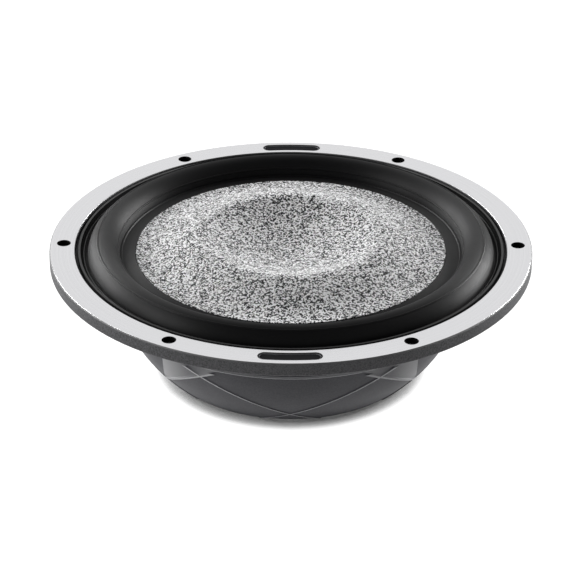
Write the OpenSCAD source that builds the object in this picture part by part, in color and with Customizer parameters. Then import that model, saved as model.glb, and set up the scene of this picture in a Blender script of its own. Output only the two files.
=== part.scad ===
// Car subwoofer: a 25 cm driver with a flat trim ring, rubber half-roll surround, M-section cone,
// cast basket with a closed spherical bowl, ferrite motor and spring-loaded cable terminals.
// Millimetres. +Z is the way the cone faces. z = 0 is the rear face of the flange, which seats on
// the panel; the origin is on the driver's axis. The terminals are at +Y.

/* [Flange and trim ring] */
// Outer diameter of the trim ring
flange_d = 264; // [258:1:280]
// Width of the trim ring's face
trim_w = 13.9; // [13:0.1:16]
// Thickness of the basket's flange
flange_t = 4.4; // [3.6:0.1:6]
// Thickness of the trim ring over the flange
trim_t = 3; // [2.4:0.1:5]
// Wall of the skirt that hides the flange's edge
skirt_wall = 2.2; // [1.4:0.1:3]
// Chamfer on the trim ring's outer edges
edge_chamfer = 0.6; // [0.2:0.1:1]
// Distance of the mounting holes' centres from the outer edge
bolt_inset = 7.6; // [7:0.1:9]
// Diameter of the mounting holes
bolt_hole_d = 6.2; // [4:0.1:6.6]
// Chamfer at the front of the mounting holes
bolt_chamfer = 0.5; // [0.2:0.1:0.8]

/* [Name inlays] */
// Angle that an inlay slot takes on the ring, between its end centres
inlay_angle = 11.8; // [8:0.2:20]
// Width of an inlay slot
inlay_w = 7.8; // [4:0.1:8.4]
// Depth of an inlay slot
inlay_depth = 1.6; // [1:0.1:2]
// Thickness of an inlay's field
inlay_t = 0.9; // [0.4:0.1:1]
// Width of the raised edge round the field
inlay_edge_w = 0.7; // [0.4:0.1:1.2]
// Height of that raised edge over the field
inlay_edge_h = 0.4; // [0.1:0.1:0.6]

/* [Surround] */
// Groove between the trim ring and the retainer's lip
lip_groove = 1.8; // [1:0.1:3]
// Width of the retainer ring
retainer_w = 4.4; // [3:0.1:6]
// Thickness of the retainer's lip
retainer_lip_t = 1.2; // [0.8:0.1:2]
// Thickness of the retainer's foot
retainer_t = 0.9; // [0.6:0.1:1.5]
// How far the retainer's lip lies below the trim ring's face
lip_drop = 0.3; // [0:0.1:1]
// Gap between the retainer and the foot of the roll
roll_gap = 0.8; // [0.5:0.1:2]
// Outer radius of the half roll
roll_r = 8.7; // [7:0.1:10]
// Thickness of the rubber
surround_t = 1.2; // [0.8:0.1:1.6]
// Depth of the surround's seat in the flange
seat_depth = 1.5; // [1:0.1:2.4]
// Width of the flange glued to the cone
glue_w = 9; // [6:0.1:12]
// Radius of the raised beads on the roll
bead_r = 0.5; // [0.3:0.05:0.8]
// Angles of the beads on the roll, from the outward level
bead_angles = [68, 154];

/* [Cone] */
// How far the cone's visible edge lies below the trim ring's face
edge_drop = 2.6; // [1:0.1:5]
// Radius of the ridge as a share of the cone's
ridge_share = 0.5714; // [0.45:0.0001:0.65]
// Height of the ridge over the trim ring's face
ridge_rise = 6.8; // [3:0.1:9]
// Depth of the dish inside the ridge
dish_depth = 11.5; // [6:0.1:14]
// Half width of the ridge's rounded top
ridge_round = 3; // [1.5:0.1:4]
// Thickness of the cone's sandwich
cone_t = 2.5; // [1.5:0.1:3]
// Thickness of the cone's lip under the surround
lip_t = 1.6; // [1:0.1:2]

/* [Voice coil] */
// Inner diameter of the coil former
former_d = 49.8; // [46:0.1:52]
// Wall of the coil former
former_t = 0.4; // [0.2:0.05:0.6]
// Thickness of the winding
coil_t = 1.4; // [1:0.05:1.8]
// Height of the winding
coil_h = 18; // [12:0.5:19]
// Former left bare under the winding
former_tail = 1.5; // [1:0.1:2]
// Wall of the neck that joins former and cone
coupler_t = 2.3; // [1.5:0.1:3]

/* [Spider] */
// Depth of the spider's seat behind the flange
spider_depth = 19; // [18:0.1:20]
// Distance of the spider's rim from the top of the bowl, across
spider_inset = 16; // [14:0.1:20]
// Thickness of the cloth
spider_t = 0.8; // [0.5:0.1:1]
// Width of the rim glued to the basket
spider_rim = 5.5; // [4:0.1:7]
// Height of the waves
wave_h = 2; // [1:0.1:2.2]
// Number of half waves
half_waves = 9; // [5:2:11]

/* [Motor] */
// Depth of the driver behind the flange
mounting_depth = 65.2; // [65:0.1:72]
// Thickness of the rear plate
yoke_t = 8.2; // [6:0.1:10]
// Thickness of the magnet
magnet_t = 18; // [17:0.5:20]
// Thickness of the top plate
plate_t = 8; // [6:0.1:9]
// Diameter of the rear plate
yoke_d = 120; // [110:1:124]
// Diameter of the magnet
magnet_d = 124; // [110:1:126]
// Diameter of the top plate
plate_d = 132; // [122:1:136]
// Diameter of the hole in the magnet
magnet_bore_d = 60; // [60:0.5:70]
// Running gap inside and outside the coil
air_gap = 0.7; // [0.5:0.05:1]
// Diameter of the vent through the pole
vent_d = 18; // [12:0.5:24]
// Height of the pole over the top plate
pole_rise = 1; // [0:0.1:3]
// Wall of the shorting ring
shorting_t = 1.8; // [1:0.1:1.8]
// Height of the shorting ring
shorting_h = 15; // [8:0.5:16]

/* [Basket] */
// Width of the flange round the collar that enters the panel's cut-out
seat_w = 16.5; // [15.5:0.1:16.7]
// Height of the collar
collar_h = 3.5; // [2:0.1:4]
// Wall of the casting
basket_wall = 2.8; // [2:0.1:3.4]
// How much further in than the collar the bowl begins
bowl_inset = 17.4; // [16:0.1:18]
// Clearance between the rear plate and the bowl's rear edge
bowl_clearance = 9.1; // [8:0.1:11]
// Depth at which the bowl begins
bowl_top = 21; // [20.5:0.1:22]
// Depth at which the bowl ends
bowl_end = 62.8; // [58:0.1:64]
// Width of a window
window_w = 72; // [50:1:76]
// Height of a window
window_h = 13.5; // [8:0.1:14]
// How far each line's circle reaches past the top of the bowl, across
line_reach = 3.9; // [3.9:0.1:4.5]
// Distance of each line's centre from the axis
line_offset = 34; // [34:0.1:35]
// How far under the bowl's top the lines end
line_stop = 3; // [3:0.1:5]
// Width of a line
line_w = 0.8; // [0.5:0.1:1.5]
// Height of a line over the bowl
line_h = 0.5; // [0.3:0.1:1]
// Diameter of the hole in the motor floor
floor_bore_d = 76; // [70:1:90]
// Thickness of the floor that the motor is screwed to
floor_t = 3; // [2.4:0.1:3.6]
// Width of the ledge under the spider's rim
ledge_w = 9.8; // [8:0.1:10]
// Width of a vent behind the spider
vent_slot_w = 22; // [14:0.5:26]
// Height of a vent behind the spider
vent_slot_h = 4; // [2:0.1:4.4]

/* [Fasteners and gasket] */
// Diameter of the motor screws
motor_screw_d = 4.8; // [4:0.1:6]
// Distance of the motor screws from the top plate's edge
motor_screw_inset = 14; // [12:0.5:16]
// Diameter of a motor screw's head
motor_head_d = 9.2; // [7:0.1:10]
// Height of a motor screw's head
motor_head_h = 2.6; // [1.5:0.1:3]
// Width of the gasket in the flange
gasket_w = 3.6; // [2:0.1:4]
// Depth of the gasket's groove
gasket_groove = 0.8; // [0.5:0.1:1.5]
// How far the gasket stands out of its groove
gasket_proud = 0.8; // [0.4:0.1:1.5]

/* [Terminals] */
// Thickness of the tongue that carries the terminal block
tongue_t = 3; // [2.4:0.1:3.6]
// Width of the terminal block
block_w = 42; // [38:0.5:48]
// Depth of the block, from its rear to its front face
block_l = 9; // [8:0.1:10]
// Height of the block
block_h = 12; // [11:0.1:13]
// Distance of the block's rear face from the collar's outside
block_inset = 17; // [16.6:0.1:17.4]
// Distance between the two terminals
terminal_pitch = 19; // [16:0.1:20]
// Diameter of a push cap
cap_d = 9.8; // [8:0.1:10]
// Length of a push cap
cap_l = 10.4; // [10:0.1:10.8]
// Travel of a push cap
cap_travel = 2; // [1.5:0.1:2.2]
// Diameter of a terminal post
post_d = 4; // [3.6:0.1:4.4]
// Diameter of the cable hole
cable_hole_d = 2.4; // [1.6:0.1:2.6]
// Diameter of the wire of a terminal spring
spring_wire_d = 0.5; // [0.3:0.05:0.6]
// Turns of a terminal spring
spring_turns = 4; // [3:1:6]
// Diameter of a braided lead
lead_d = 1.6; // [1:0.1:2]
// Diameter of the terminal block's screws
block_screw_d = 2.9; // [2.4:0.1:3.2]
// Depth of those screws in the block
block_screw_depth = 6; // [4:0.5:8]

/* [Hidden] */
$fn = 96;
folds = 6;          // holes, windows, screws, vents and lines repeat this often round the axis
eps = 0.01;
glue = 0.3;         // between a part that flexes and what it is glued to
fit = 0.15;         // round a part laid in a recess
slide_gap = 0.3;    // round a part that slides
bond = 0.05;        // round a part bonded to a tube
cut = 1;            // how far a cutting tool reaches past a face

face_z = flange_t + trim_t;
trim_or = flange_d / 2;
trim_ir = trim_or - trim_w;
flange_or = trim_or - skirt_wall - fit;
bolt_r = trim_or - bolt_inset;
inlay_r = bolt_r;

seat_z = flange_t - seat_depth;
retainer_or = trim_ir - lip_groove;
retainer_ir = retainer_or - retainer_w;
roll_outer = retainer_ir - roll_gap;
roll_centre = roll_outer - roll_r;
roll_inner = roll_centre - roll_r;
roll_z = seat_z + surround_t;

edge_r = roll_inner - glue_w;
edge_z = face_z - edge_drop;
glue_slope = 0.14;
lip_r = roll_inner - 1;
ridge_r = ridge_share * edge_r;
ridge_z = face_z + ridge_rise;
dish_z = ridge_z - dish_depth;
cone_steps = 40;

plate_z = -(mounting_depth - yoke_t - magnet_t - plate_t);   // front face of the top plate
magnet_z = plate_z - plate_t;
yoke_z = magnet_z - magnet_t;
former_ir = former_d / 2;
former_or = former_ir + former_t;
coil_ir = former_or + bond;
coil_or = coil_ir + coil_t;
coil_mid = plate_z - plate_t / 2;
coil_top = coil_mid + coil_h / 2;
coil_low = coil_mid - coil_h / 2;
coupler_ir = former_or + bond;
coupler_or = coupler_ir + coupler_t;
pole_r = former_ir - air_gap;
gap_r = coil_or + air_gap;

collar_r = trim_or - seat_w;
bowl_top_r = collar_r - bowl_inset;
bowl_end_r = yoke_d / 2 + bowl_clearance;
// height of the sphere's centre on the axis, and its radius, from the bowl's two rims
bowl_centre = (pow(bowl_top_r, 2) - pow(bowl_end_r, 2) + pow(bowl_top, 2) - pow(bowl_end, 2))
    / (2 * (bowl_end - bowl_top));
bowl_r = norm([bowl_top_r, bowl_centre + bowl_top]);
bowl_ir = bowl_r - basket_wall;

spider_z = -spider_depth;
spider_or = bowl_top_r - spider_inset;
spider_wave_or = spider_or - spider_rim;
spider_ir = coupler_or + glue;
spider_neck_h = 4;
spider_wave_ir = spider_ir + spider_t + 3;
coupler_low = spider_z - 1;

opening_r = roll_outer - 0.8;
line_r = bowl_top_r + line_reach - line_offset;
motor_screw_r = plate_d / 2 - motor_screw_inset;
shelf_z = spider_z + 1;
shelf_low = spider_z - basket_wall;
cup_ir = spider_or - ledge_w;
cup_or = cup_ir + basket_wall;
floor_z = plate_z + floor_t;
gasket_or = bolt_r - bolt_hole_d / 2 - 0.6;
gasket_ir = gasket_or - gasket_w;

block_y = collar_r - block_inset;
block_z = shelf_z;
block_screw_x = block_w / 2 - 3.5;
block_screw_y = block_y + block_l / 2;
terminal_z = block_z + block_h / 2;
well_y = block_y + 2.5;
cap_y = well_y + cap_travel + 1;
cap_end = cap_y + cap_l;
cap_well_r = cap_d / 2 + slide_gap;
pocket_r = cap_d / 2 - 1;
pocket_depth = 4;
pocket_end = cap_y + pocket_depth;
head_t = 0.8;
head_y = cap_end - 1.2;
head_r = post_d / 2 + 1.1;
cable_y = pocket_end + cable_hole_d / 2 + 0.1;
post_y = block_y - 1.5;
tab_y = block_y - 4;
tongue_y = block_y + block_l + 2.5;

// A smooth step from 0 to 1, level at both ends
function ease(t) = (1 - cos(180 * t)) / 2;

// The dish, and the slope outside it that levels out at the edge, as they would cross
function cone_flank(r) = r < ridge_r
    ? dish_z + (ridge_z - dish_z) * pow(r / ridge_r, 2)
    : let (t = (r - ridge_r) / (edge_r - ridge_r))
      ridge_z - (ridge_z - edge_z) * (ease(t) + sin(90 * t)) / 2;

// Front face of the cone: the flanks, with the ridge rounded between them
function cone_front(r) = abs(r - ridge_r) > ridge_round
    ? cone_flank(r)
    : let (t = (r - ridge_r + ridge_round) / (2 * ridge_round))
      (1 - t) * (1 - t) * cone_flank(ridge_r - ridge_round) + 2 * t * (1 - t) * ridge_z
      + t * t * cone_flank(ridge_r + ridge_round);
function cone_back(r) = cone_front(r) - cone_t;

// Front face of the flange that is glued to the cone
function glue_front(r) = edge_z - glue_slope * (r - edge_r);

// Waves of the spider's cloth; they start upwards at the glued rim
function spider_low(r) = spider_z
    + wave_h * sin(180 * half_waves * (spider_wave_or - r) / (spider_wave_or - spider_wave_ir));

// Repeats its children evenly round the axis
module around(count, start = 0) {
    for (i = [0 : count - 1]) rotate([0, 0, start + 360 * i / count]) children();
}

module ring(outer, inner, low, high) {
    translate([0, 0, low]) linear_extrude(high - low)
        difference() { circle(r = outer); circle(r = inner); }
}

// A slot with round ends that follows the ring, centred on +X
module curved_slot(r, angle, w) {
    steps = 20;
    half = angle / 2;
    function at(a, radius) = radius * [cos(a), sin(a)];
    function side(radius, turn) =
        [for (i = [0 : steps]) at(turn * (2 * i / steps - 1) * half, radius)];
    function end(middle, from) =
        [for (i = [1 : steps - 1]) at(middle, r) + at(from + 180 * i / steps, w / 2)];
    polygon(concat(side(r + w / 2, 1), end(half, half), side(r - w / 2, -1), end(-half, 180 - half)));
}

// A round tube along a path; across is a direction that the path never runs in
module tube(path, r, across, sides = 8) {
    last = len(path) - 1;
    function along(i) = path[min(i + 1, last)] - path[max(i - 1, 0)];
    function unit(v) = v / norm(v);
    rings = [for (i = [0 : last])
        let (t = unit(along(i)), u = unit(cross(t, across)), v = cross(t, u))
        for (s = [0 : sides - 1]) path[i] + r * (cos(360 * s / sides) * u + sin(360 * s / sides) * v)];
    walls = [for (i = [0 : last - 1], s = [0 : sides - 1])
        let (n = (s + 1) % sides, low = i * sides, high = low + sides)
        each [[low + s, low + n, high + n], [low + s, high + n, high + s]]];
    start_cap = [[for (s = [sides - 1 : -1 : 0]) s]];
    end_cap = [[for (s = [0 : sides - 1]) last * sides + s]];
    polyhedron(points = rings, faces = [for (f = concat(walls, start_cap, end_cap))
        [for (k = [len(f) - 1 : -1 : 0]) f[k]]], convexity = 6);
}

// ---- Front trim

module trim_ring() {
    recess_low = face_z - inlay_depth;
    color("gainsboro") difference() {
        rotate_extrude() polygon([
            [trim_ir, flange_t], [trim_or - skirt_wall, flange_t], [trim_or - skirt_wall, 0],
            [trim_or - edge_chamfer, 0], [trim_or, edge_chamfer], [trim_or, face_z - edge_chamfer],
            [trim_or - edge_chamfer, face_z], [trim_ir + edge_chamfer / 2, face_z],
            [trim_ir, face_z - edge_chamfer / 2]]);
        around(folds) translate([bolt_r, 0, 0]) {
            cylinder(d = bolt_hole_d, h = face_z + cut);
            translate([0, 0, face_z - bolt_chamfer])
                cylinder(d1 = bolt_hole_d, d2 = bolt_hole_d + 2 * (bolt_chamfer + cut),
                         h = bolt_chamfer + cut);
        }
        around(2, 90) translate([0, 0, recess_low])
            linear_extrude(inlay_depth + cut) curved_slot(inlay_r, inlay_angle, inlay_w);
    }
}

module badge_inlay(direction) {
    low = face_z - inlay_depth;
    outer_w = inlay_w - 2 * fit;
    field_w = outer_w - 2 * inlay_edge_w;
    color("dimgray") rotate([0, 0, direction]) difference() {
        translate([0, 0, low]) linear_extrude(inlay_t + inlay_edge_h)
            curved_slot(inlay_r, inlay_angle, outer_w);
        translate([0, 0, low + inlay_t]) linear_extrude(inlay_edge_h + cut)
            curved_slot(inlay_r, inlay_angle, field_w);
    }
}

module badge_inlay_front() { badge_inlay(-90); }

module badge_inlay_rear() { badge_inlay(90); }

module surround_retainer() {
    foot_z = roll_z;
    color("gray") rotate_extrude() polygon([
        [retainer_ir, foot_z], [retainer_or, foot_z], [retainer_or, face_z - lip_drop],
        [retainer_or - retainer_lip_t, face_z - lip_drop],
        [retainer_or - retainer_lip_t, foot_z + retainer_t], [retainer_ir, foot_z + retainer_t]]);
}

// ---- Moving parts and their suspension

module surround() {
    foot = roll_inner + surround_t;
    glued_ir = edge_r + glue;
    color([0.07, 0.07, 0.08]) rotate_extrude() {
        // outer foot, glued into the flange's seat
        translate([roll_outer - surround_t, seat_z])
            square([retainer_or - roll_outer + surround_t, surround_t]);
        // half roll with its beads
        translate([roll_centre, roll_z]) {
            intersection() {
                difference() { circle(r = roll_r); circle(r = roll_r - surround_t); }
                translate([-2 * roll_r, 0]) square([4 * roll_r, 2 * roll_r]);
            }
            for (a = bead_angles) rotate(a) translate([roll_r, 0]) circle(r = bead_r);
        }
        // inner foot and the flange on the cone
        polygon([
            [glued_ir, glue_front(glued_ir) - surround_t], [foot, glue_front(foot) - surround_t],
            [foot, roll_z], [roll_inner, roll_z], [roll_inner, glue_front(roll_inner)],
            [glued_ir, glue_front(glued_ir)]]);
    }
}

module cone() {
    step = edge_r / cone_steps;
    front = [for (i = [0 : cone_steps]) [i * step, cone_front(i * step)]];
    back = [for (i = [cone_steps : -1 : 0]) [i * step, cone_back(i * step)]];
    sunk = surround_t + glue;   // the rebate that the surround's flange lies in
    rebate_r = edge_r + eps;
    lip = [
        [rebate_r, glue_front(edge_r) - sunk], [lip_r, glue_front(lip_r) - sunk],
        [lip_r, glue_front(lip_r) - sunk - lip_t], [rebate_r, glue_front(edge_r) - sunk - lip_t]];
    color("darkgray") rotate_extrude() polygon(concat(front, lip, back));
}

module coil_coupler() {
    // its front edge follows the slope of the cone's back
    color("dimgray") rotate_extrude() polygon([
        [coupler_ir, coupler_low], [coupler_or, coupler_low],
        [coupler_or, cone_back(coupler_or) - glue], [coupler_ir, cone_back(coupler_ir) - glue]]);
}

module coil_former() {
    color("goldenrod")
        ring(former_or, former_ir, coil_low - former_tail, cone_back(former_ir) - glue);
}

module voice_coil() {
    color("peru") ring(coil_or, coil_ir, coil_low, coil_top);
}

module spider() {
    steps = 6 * half_waves;
    step = (spider_wave_or - spider_wave_ir) / steps;
    rs = [for (i = [0 : steps]) spider_wave_ir + i * step];
    under = [for (r = rs) [r, spider_low(r)]];
    over = [for (i = [steps : -1 : 0]) [rs[i], spider_low(rs[i]) + spider_t]];
    color("khaki") rotate_extrude() polygon(concat(
        [[spider_ir, spider_z]], under,
        [[spider_or, spider_z], [spider_or, spider_z + spider_t]], over,
        [[spider_ir + spider_t, spider_z + spider_t],
         [spider_ir + spider_t, spider_z + spider_neck_h], [spider_ir, spider_z + spider_neck_h]]));
}

// ---- Basket

// Half section of the casting before its windows, holes and lines are made
module basket_section() {
    taper = (collar_r - bowl_top_r) / (bowl_top - collar_h);
    wall_across = basket_wall * sqrt(1 + taper * taper) + 0.5;
    overlap = 1.4;   // how far the bowl runs up inside the taper
    inner_taper = collar_r - wall_across + taper * collar_h;   // inner wall, carried up to z = 0
    polygon([
        [collar_r, 0], [flange_or, 0], [flange_or, flange_t], [retainer_or + glue, flange_t],
        [retainer_or + glue, seat_z], [opening_r, seat_z],
        [opening_r, -(inner_taper - opening_r) / taper],
        [inner_taper + taper * shelf_z, shelf_z], [spider_or + glue, shelf_z],
        [spider_or + glue, spider_z], [cup_ir, spider_z], [cup_ir, floor_z],
        [floor_bore_d / 2, floor_z], [floor_bore_d / 2, plate_z], [cup_or, plate_z],
        [cup_or, shelf_low], [bowl_top_r + taper * (bowl_top + shelf_low), shelf_low],
        [collar_r, -collar_h]]);
    intersection() {
        translate([0, bowl_centre]) difference() { circle(r = bowl_r); circle(r = bowl_ir); }
        translate([0, -bowl_end]) square([2 * bowl_r, bowl_end - bowl_top + overlap]);
    }
}

// One window: a bar with round ends, pointing along +X
module window_tool() {
    straight = window_w - window_h;
    translate([cup_or + 5, 0, shelf_z + window_h / 2]) rotate([90, 0, 90])
        linear_extrude(trim_or) {
            square([straight, window_h], center = true);
            for (side = [-1, 1]) translate([side * straight / 2, 0]) circle(d = window_h);
        }
}

// The raised circular lines that cross each other on the bowl
module bowl_lines() {
    root = 1;   // how deep a line is rooted in the wall
    intersection() {
        around(folds, 30) translate([line_offset, 0, 0])
            ring(line_r + line_w / 2, line_r - line_w / 2, -bowl_end - cut, -bowl_top + cut);
        rotate_extrude() intersection() {
            translate([0, bowl_centre]) difference() {
                circle(r = bowl_r + line_h);
                circle(r = bowl_r - root);
            }
            translate([bowl_r / 2, -bowl_end])
                square([bowl_r, bowl_end - bowl_top - line_stop]);
        }
    }
}

module basket() {
    color([0.24, 0.24, 0.25]) difference() {
        union() {
            rotate_extrude() basket_section();
            bowl_lines();
            // tongue for the terminal block
            translate([-block_w / 2 - 1, block_y - 6, shelf_z - tongue_t])
                cube([block_w + 2, tongue_y - block_y + 6, tongue_t]);
        }
        around(folds, 30) window_tool();
        around(folds) translate([bolt_r, 0, -cut])
            cylinder(d = bolt_hole_d, h = flange_t + 2 * cut);
        ring(gasket_or + fit, gasket_ir - fit, -cut, gasket_groove);
        around(folds) translate([motor_screw_r, 0, plate_z - cut])
            cylinder(d = motor_screw_d + 0.4, h = floor_z - plate_z + 2 * cut);
        // vents through the cup's wall, behind the spider
        around(folds, 30) translate([cup_ir - cut, -vent_slot_w / 2, floor_z + 0.8])
            cube([basket_wall + 2 * cut, vent_slot_w, vent_slot_h]);
        for (side = [-1, 1])
            translate([side * block_screw_x, block_screw_y, shelf_z - tongue_t - cut])
                cylinder(d = block_screw_d + 0.4, h = tongue_t + 2 * cut);
    }
}

module flange_gasket() {
    color("black") ring(gasket_or, gasket_ir, -gasket_proud, gasket_groove);
}

// ---- Motor

module motor_screws() {
    tip_z = magnet_z + 2;
    color("silver") around(folds) translate([motor_screw_r, 0, 0]) difference() {
        union() {
            translate([0, 0, tip_z]) cylinder(d = motor_screw_d, h = floor_z - tip_z);
            translate([0, 0, floor_z]) cylinder(d = motor_head_d, h = motor_head_h);
        }
        translate([0, 0, floor_z + motor_head_h - 1.4])
            cylinder(d = motor_head_d / 2, h = 1.4 + cut, $fn = 6);
    }
}

module top_plate() {
    color("lightslategray") difference() {
        ring(plate_d / 2, gap_r, magnet_z, plate_z);
        around(folds) translate([motor_screw_r, 0, magnet_z - cut])
            cylinder(d = motor_screw_d + 0.1, h = plate_t + 2 * cut);
    }
}

module magnet() {
    color([0.16, 0.16, 0.17]) ring(magnet_d / 2, magnet_bore_d / 2, yoke_z, magnet_z);
}

module yoke() {
    rear_z = -mounting_depth;
    screen_r = vent_d / 2 + 3;
    color("lightslategray") rotate_extrude() polygon([
        [vent_d / 2, plate_z + pole_rise], [pole_r - 1, plate_z + pole_rise],
        [pole_r, plate_z + pole_rise - 1], [pole_r, yoke_z], [yoke_d / 2, yoke_z],
        [yoke_d / 2, rear_z + 3], [yoke_d / 2 - 3, rear_z], [screen_r + fit, rear_z],
        [screen_r + fit, rear_z + 1.2], [vent_d / 2, rear_z + 1.2]]);
}

module shorting_ring() {
    bore_r = magnet_bore_d / 2;
    color("silver") ring(bore_r - bond, bore_r - shorting_t, yoke_z, yoke_z + shorting_h);
}

module vent_screen() {
    screen_t = 0.8;
    pitch = 3.2;
    reach = floor((vent_d / 2 - 1) / pitch);
    color("black") translate([0, 0, -mounting_depth + 1.2 - screen_t]) linear_extrude(screen_t)
        difference() {
            circle(r = vent_d / 2 + 3);
            for (i = [-reach : reach], j = [-reach : reach])
                if (norm([i, j]) * pitch < vent_d / 2 - 1)
                    translate([i * pitch, j * pitch]) circle(d = 2, $fn = 24);
        }
}

// ---- Terminals and leads

// Places its children at one terminal, with +Z along the terminal's axis, outwards
module at_terminal(side) {
    translate([side * terminal_pitch / 2, 0, terminal_z]) rotate([-90, 0, 0]) children();
}

module terminal_block() {
    color([0.1, 0.1, 0.11]) difference() {
        translate([-block_w / 2, block_y, block_z]) cube([block_w, block_l, block_h]);
        for (side = [-1, 1]) {
            at_terminal(side) {
                translate([0, 0, well_y]) cylinder(r = cap_well_r, h = block_l);
                translate([0, 0, block_y - cut]) cylinder(d = post_d + 2 * bond, h = block_l + 2 * cut);
            }
            translate([side * block_screw_x, block_screw_y, block_z - cut])
                cylinder(d = block_screw_d + 2 * bond, h = block_screw_depth + 2 * cut);
        }
    }
}

module terminal_posts() {
    color("gold") for (side = [-1, 1]) difference() {
        union() {
            at_terminal(side) {
                translate([0, 0, post_y]) cylinder(d = post_d, h = head_y + head_t - post_y);
                translate([0, 0, head_y]) cylinder(r = head_r, h = head_t);
            }
            // solder tab behind the block
            translate([side * terminal_pitch / 2 - 1.5, tab_y, terminal_z - 0.4])
                cube([3, post_y + 1 - tab_y, 0.8]);
        }
        translate([side * terminal_pitch / 2, cable_y, terminal_z - post_d])
            cylinder(d = cable_hole_d, h = 2 * post_d);
    }
}

module push_cap(side) {
    rounding = 0.6;
    difference() {
        at_terminal(side) rotate_extrude() polygon([
            [post_d / 2 + slide_gap, pocket_end], [pocket_r, pocket_end], [pocket_r, cap_y],
            [cap_d / 2, cap_y], [cap_d / 2, cap_end - rounding], [cap_d / 2 - rounding, cap_end],
            [head_r + slide_gap, cap_end], [head_r + slide_gap, head_y],
            [post_d / 2 + slide_gap, head_y]]);
        translate([side * terminal_pitch / 2, cable_y + cap_travel, terminal_z - cap_d])
            cylinder(d = cable_hole_d, h = 2 * cap_d);
    }
}

module push_cap_positive() { color("firebrick") push_cap(-1); }

module push_cap_negative() { color([0.12, 0.12, 0.12]) push_cap(1); }

module terminal_spring(side) {
    wire_r = spring_wire_d / 2;
    coil_r = (post_d / 2 + pocket_r) / 2 + 0.1;
    low = well_y + wire_r;
    high = pocket_end - wire_r;
    per_turn = 14;
    color("silver") tube([for (i = [0 : spring_turns * per_turn])
        let (a = 360 * i / per_turn, y = low + (high - low) * i / (spring_turns * per_turn))
        [side * terminal_pitch / 2 + coil_r * cos(a), y, terminal_z + coil_r * sin(a)]],
        wire_r, [0, 1, 0], 6);
}

module terminal_spring_positive() { terminal_spring(-1); }

module terminal_spring_negative() { terminal_spring(1); }

module terminal_screws() {
    under_z = shelf_z - tongue_t;
    head_h = 1.8;
    color("silver") for (side = [-1, 1])
        translate([side * block_screw_x, block_screw_y, under_z]) difference() {
            union() {
                cylinder(d = block_screw_d, h = tongue_t + block_screw_depth);
                translate([0, 0, -head_h]) cylinder(d = 2 * block_screw_d, h = head_h);
            }
            translate([0, 0, -head_h - cut]) cylinder(d = 2.4, h = 1 + cut, $fn = 6);
        }
}

// A braided lead: from the solder tab over the spider to the neck, low in the middle
module lead(side) {
    start = [side * terminal_pitch / 2, tab_y - glue, terminal_z];
    finish = [side * terminal_pitch / 4, coupler_or + glue + 0.6, spider_z + spider_depth / 2];
    sag = 1.4 * lead_d;
    steps = 24;
    color([0.75, 0.6, 0.35]) tube([for (i = [0 : steps]) let (t = i / steps)
        [start[0] + (finish[0] - start[0]) * t,
         start[1] + (finish[1] - start[1]) * t,
         start[2] + (finish[2] - start[2]) * ease(t) - sag * sin(180 * t) * (1 - t)]],
        lead_d / 2, [1, 0, 0]);
}

module lead_positive() { lead(-1); }

module lead_negative() { lead(1); }

trim_ring();
badge_inlay_front();
badge_inlay_rear();
surround_retainer();
surround();
cone();
coil_coupler();
coil_former();
voice_coil();
spider();
basket();
flange_gasket();
motor_screws();
top_plate();
magnet();
yoke();
shorting_ring();
vent_screen();
terminal_block();
terminal_posts();
push_cap_positive();
push_cap_negative();
terminal_spring_positive();
terminal_spring_negative();
terminal_screws();
lead_positive();
lead_negative();
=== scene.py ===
"""Looks for a car subwoofer: a 25 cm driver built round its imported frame.

Every piece is in metres in the frame's own coordinates, with +Z the way the cone faces.
"""

import math

import bmesh
import bpy
from bpy.props import FloatProperty, FloatVectorProperty, IntProperty, PointerProperty
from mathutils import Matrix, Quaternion, Vector


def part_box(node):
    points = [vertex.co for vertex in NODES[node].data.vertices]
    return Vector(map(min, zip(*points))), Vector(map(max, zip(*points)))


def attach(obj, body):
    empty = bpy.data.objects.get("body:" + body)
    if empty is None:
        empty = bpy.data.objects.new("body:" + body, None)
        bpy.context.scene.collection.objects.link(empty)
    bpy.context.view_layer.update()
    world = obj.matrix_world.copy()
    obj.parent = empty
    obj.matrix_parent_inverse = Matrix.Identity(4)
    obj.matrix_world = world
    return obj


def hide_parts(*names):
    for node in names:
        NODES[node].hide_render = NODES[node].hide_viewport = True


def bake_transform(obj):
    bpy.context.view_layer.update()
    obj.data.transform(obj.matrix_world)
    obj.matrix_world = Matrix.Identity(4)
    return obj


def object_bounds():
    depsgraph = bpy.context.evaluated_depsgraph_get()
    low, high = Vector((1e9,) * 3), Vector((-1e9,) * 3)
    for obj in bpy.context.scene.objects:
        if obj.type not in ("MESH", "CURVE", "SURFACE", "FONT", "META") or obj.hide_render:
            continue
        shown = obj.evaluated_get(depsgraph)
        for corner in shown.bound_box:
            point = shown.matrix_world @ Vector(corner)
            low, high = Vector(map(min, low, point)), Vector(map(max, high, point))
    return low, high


bl_info = {
    "name": "Car subwoofer",
    "version": (1, 0, 0),
    "blender": (4, 5, 0),
    "location": "3D View > Sidebar > Subwoofer",
    "description": "Builds the visible pieces of a car subwoofer round its frame",
    "category": "Add Mesh",
}

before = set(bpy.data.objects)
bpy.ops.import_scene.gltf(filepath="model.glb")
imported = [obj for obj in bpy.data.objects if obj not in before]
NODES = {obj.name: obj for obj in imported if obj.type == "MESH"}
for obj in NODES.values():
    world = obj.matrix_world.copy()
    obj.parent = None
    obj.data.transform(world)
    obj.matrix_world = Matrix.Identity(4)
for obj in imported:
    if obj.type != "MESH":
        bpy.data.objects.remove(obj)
CAD_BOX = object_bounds()
MM = 0.001
FULL_TURN = 2 * math.pi
FLOOR_Z = CAD_BOX[0].z
FACE_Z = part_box("trim_ring")[1].z
CONE_TOP_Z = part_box("cone")[1].z
SPIDER_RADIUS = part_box("spider")[1].x
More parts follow.
